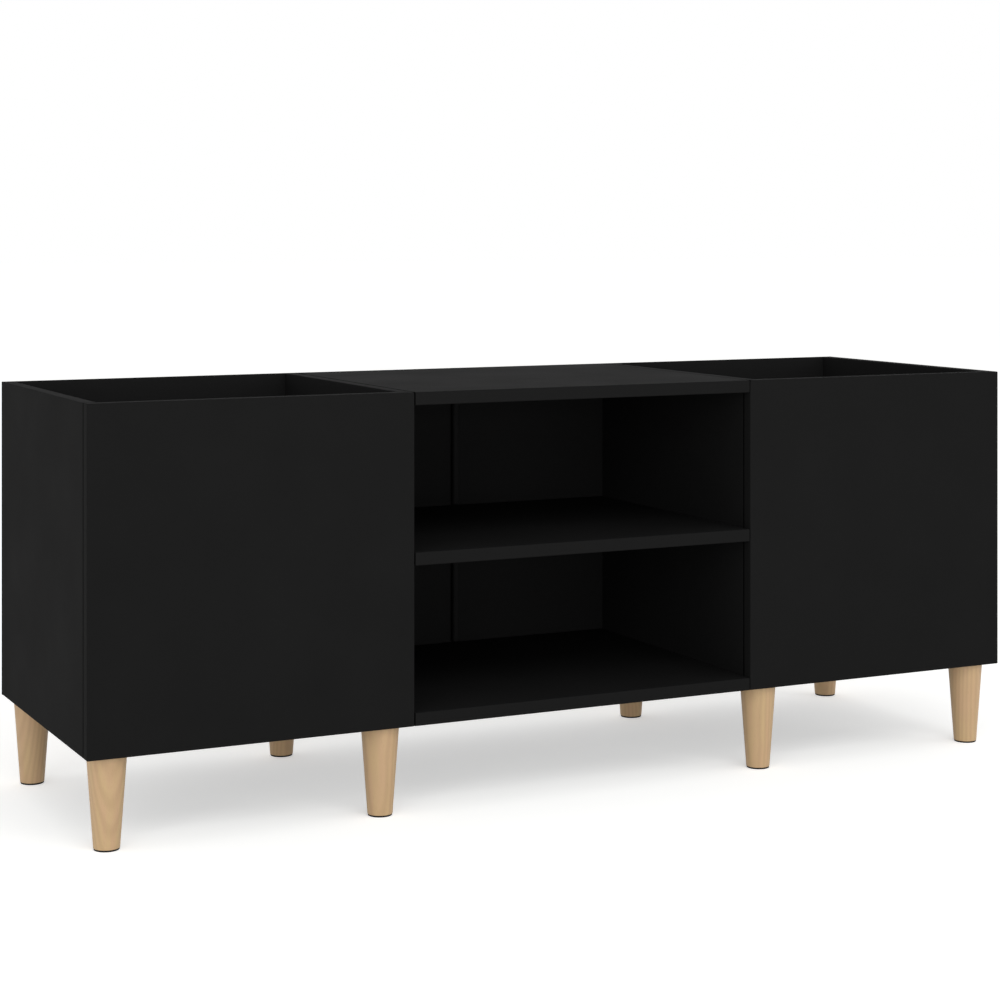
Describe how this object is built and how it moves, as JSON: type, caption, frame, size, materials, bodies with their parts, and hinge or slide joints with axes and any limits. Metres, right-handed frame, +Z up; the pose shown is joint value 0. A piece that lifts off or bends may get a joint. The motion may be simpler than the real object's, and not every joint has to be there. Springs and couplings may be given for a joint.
{
  "type": "record cabinet",
  "caption": "Low black record cabinet on tapered wooden legs, with an open-topped record bin at each end and a shelved niche between them.",
  "frame": {"origin": "middle of the footprint, on the floor under the glides", "axes": "+X to the right as seen from the front, along the cabinet's length; +Y towards the back; +Z up"},
  "size_m": [1.21, 0.3808, 0.4835],
  "materials": {
    "black_melamine_board": "matte black melamine on 15 mm chipboard, edges banded to match",
    "black_hardboard": "black lacquered face, brown pressed fibre behind",
    "batten_wood": "planed softwood",
    "black_plastic_strip": "extruded, matte",
    "leg_wood": "turned light wood, clear matte lacquer",
    "glide_plastic": "moulded, matte",
    "zinc_plated_steel": "bright zinc plating",
    "dowel_beech": "raw beech",
    "nail_steel": "plain drawn wire"
  },
  "bodies": {
    "root": {"niche_top": "black_melamine_board", "niche_shelf": "black_melamine_board", "niche_bottom": "black_melamine_board", "outer_side_left": "black_melamine_board", "partition_left": "black_melamine_board", "front_panel_left": "black_melamine_board", "bin_bottom_left": "black_melamine_board", "record_floor_left": "black_melamine_board", "outer_side_right": "black_melamine_board", "partition_right": "black_melamine_board", "front_panel_right": "black_melamine_board", "bin_bottom_right": "black_melamine_board", "record_floor_right": "black_melamine_board", "back_panel_left": "black_hardboard", "back_panel_right": "black_hardboard", "floor_batten_left_inner": "batten_wood", "floor_batten_left_outer": "batten_wood", "floor_batten_right_inner": "batten_wood", "floor_batten_right_outer": "batten_wood", "back_joining_strip": "black_plastic_strip", "front_legs": "leg_wood", "rear_legs": "leg_wood", "leg_glides": "glide_plastic", "leg_hanger_bolts": "zinc_plated_steel", "leg_inserts": "zinc_plated_steel", "cam_nuts": "zinc_plated_steel", "cam_bolts": "zinc_plated_steel", "wooden_dowels": "dowel_beech", "back_panel_nails": "nail_steel"}
  },
  "joints": []
}
